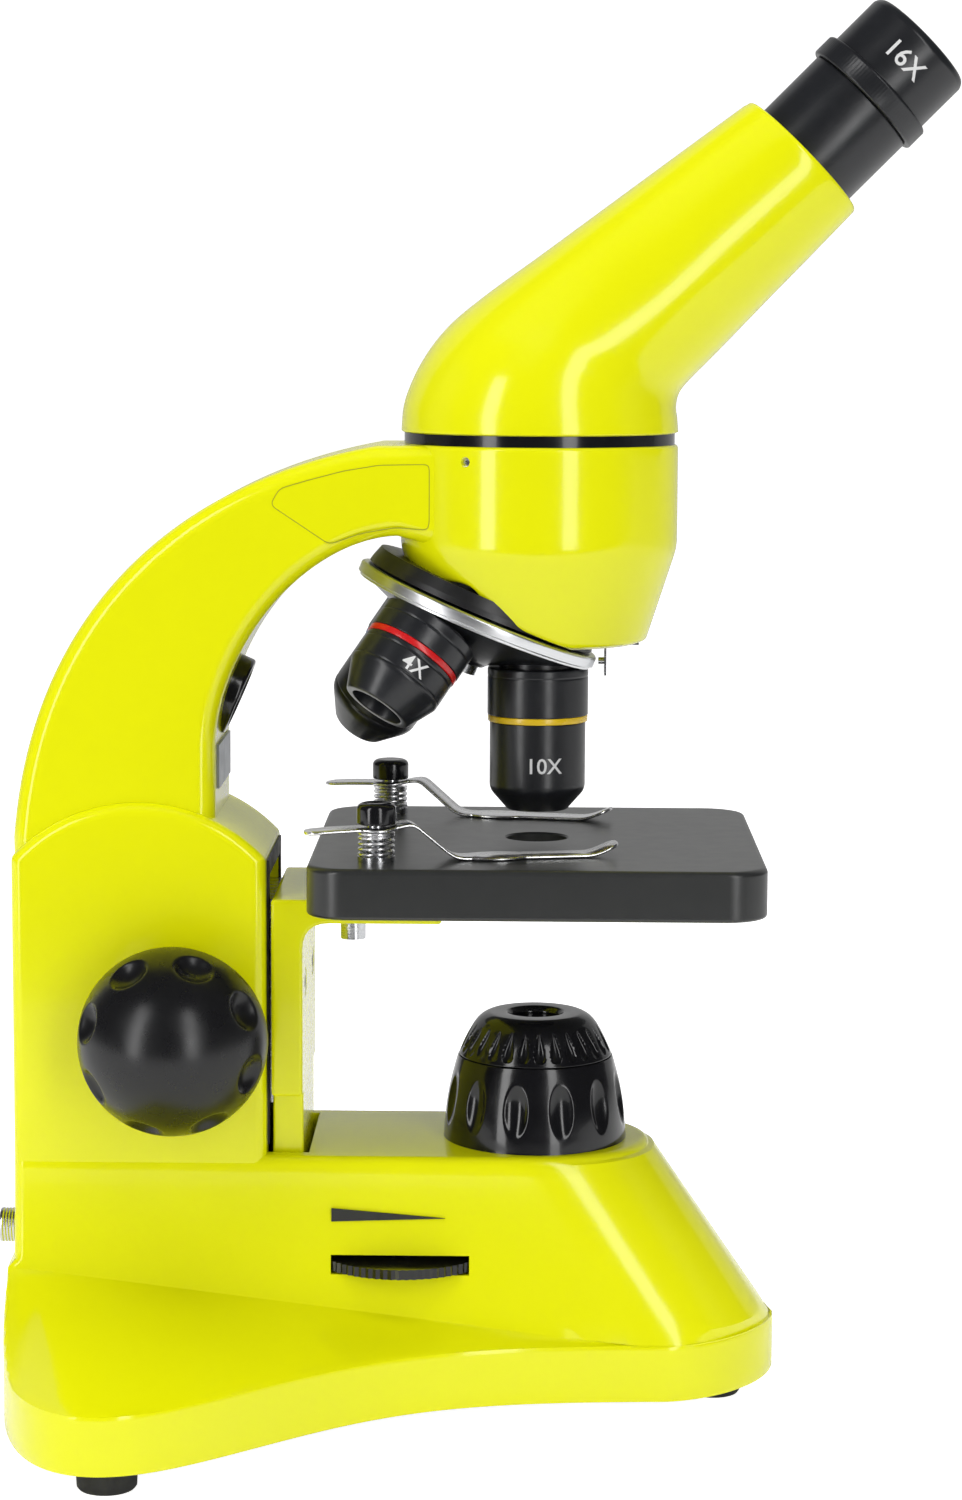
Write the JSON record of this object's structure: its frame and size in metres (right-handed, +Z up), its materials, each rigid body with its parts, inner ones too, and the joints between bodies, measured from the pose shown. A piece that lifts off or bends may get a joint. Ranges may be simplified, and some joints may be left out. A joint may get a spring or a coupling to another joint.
{
  "type": "microscope",
  "caption": "Student microscope: inclined monocular head that turns, tilted revolving nosepiece, rack-focused stage with clips, and lamps below and above the stage.",
  "frame": {"origin": "middle of the bounding box at table height, under the foot plane", "axes": "+X towards the user (eyepiece side), +Y across the stage, +Z up"},
  "size_m": [0.1951, 0.1502, 0.2863],
  "materials": {
    "yellow_paint": "gloss enamel, lime yellow",
    "black_paint": "satin black anodised or painted",
    "black_plastic": "glossy black",
    "inner_plastic": "matte black",
    "rubber": "soft black",
    "steel": "polished",
    "grip_ring": "turned",
    "brass": "machined",
    "glass": "clear",
    "red_band": "gloss",
    "yellow_band": "gloss",
    "blue_band": "gloss",
    "circuit_green": "satin",
    "lamp_white": "diffuse",
    "cell_label": "satin"
  },
  "bodies": {
    "stand": {"stand": "yellow_paint", "bottom_plate": "inner_plastic", "battery_door": "inner_plastic", "bottom_screws": "steel", "feet": "rubber", "foot_screws": "steel", "column_plate": "black_paint", "arm_plate": "grip_ring", "brightness_mark": "black_plastic", "power_inlet": "steel", "battery_box": "inner_plastic", "battery_cells": "cell_label", "circuit_board": "circuit_green", "potentiometer": "steel", "selector_housing": "black_plastic", "lamp_housing": "black_plastic", "lower_led": "lamp_white", "upper_lamp": "black_plastic", "upper_lens": "glass", "upper_led": "lamp_white", "guide_rails": "steel", "shaft_bushes": "brass", "nose_plate": "black_paint", "pivot_screw": "steel", "index_spring": "steel", "slip_ring": "black_plastic", "lock_screw": "steel"},
    "wheel": {"brightness_wheel": "black_plastic"},
    "selector": {"selector_rocker": "black_plastic"},
    "lamp_top": {"lamp_cap": "black_plastic", "condenser_lens": "glass"},
    "focus_knob": {"focus_shaft": "steel", "focus_knobs": "black_plastic"},
    "stage": {"focus_slide": "steel", "focus_rack": "brass", "stage_carrier": "yellow_paint", "carrier_screws": "steel", "stage_plate": "black_paint", "stage_screws": "steel", "clip_posts": "steel", "clip_caps": "black_plastic", "clip_springs": "steel"},
    "clip_near": {"clip_near": "steel"},
    "clip_far": {"clip_far": "steel"},
    "nosepiece": {"turret": "black_paint", "turret_ring": "grip_ring", "objective_4": "black_paint", "objective_10": "black_paint", "objective_40": "black_paint", "band_4": "red_band", "band_10": "yellow_band", "band_40": "blue_band", "objective_lenses": "glass"},
    "head": {"head_flange": "steel", "head_shell": "yellow_paint", "prism": "glass", "eyepiece_tube": "black_paint"},
    "eyepiece": {"eyepiece_barrel": "black_paint", "eyepiece_cap": "black_paint", "eyepiece_lenses": "glass"}
  },
  "joints": [
    {"name": "head_turn", "type": "hinge", "parent": "stand", "child": "head", "pos_m": [0.014, 0, 0.2], "axis": [0, 0, 1], "continuous": true},
    {"name": "eyepiece_slide", "type": "slide", "parent": "head", "child": "eyepiece", "axis": [0.7071, 0, 0.7071], "range_m": [0, 0.026]},
    {"name": "nosepiece_turn", "type": "hinge", "parent": "stand", "child": "nosepiece", "pos_m": [0.014, 0, 0.1931], "axis": [0.3827, 0, 0.9239], "continuous": true},
    {"name": "focus_turn", "type": "hinge", "parent": "stand", "child": "focus_knob", "pos_m": [-0.0576, 0, 0.081], "axis": [0, -1, 0], "range_deg": [-120, 18]},
    {"name": "stage_slide", "type": "slide", "parent": "stand", "child": "stage", "axis": [0, 0, 1], "range_m": [-0.01, 0.0015]},
    {"name": "lamp_top_turn", "type": "hinge", "parent": "stand", "child": "lamp_top", "pos_m": [0.014, 0, 0.0719], "axis": [0, 0, 1], "range_deg": [-170, 170]},
    {"name": "wheel_turn", "type": "hinge", "parent": "stand", "child": "wheel", "pos_m": [-0.0131, -0.0114, 0.0324], "axis": [0, 0, 1], "range_deg": [0, 280]},
    {"name": "selector_tilt", "type": "hinge", "parent": "stand", "child": "selector", "pos_m": [-0.013, 0.0194, 0.04], "axis": [1, 0, 0], "range_deg": [-5.5, 5.5]},
    {"name": "clip_near_turn", "type": "hinge", "parent": "stage", "child": "clip_near", "pos_m": [-0.0175, -0.034, 0.1171], "axis": [0, 0, 1], "range_deg": [-50, 20]},
    {"name": "clip_far_turn", "type": "hinge", "parent": "stage", "child": "clip_far", "pos_m": [-0.0175, 0.034, 0.1171], "axis": [0, 0, 1], "range_deg": [-20, 50]}
  ],
  "couplings": [
    {"joint": "focus_turn", "follows": "stage_slide", "rad_per_m": 208.33}
  ]
}
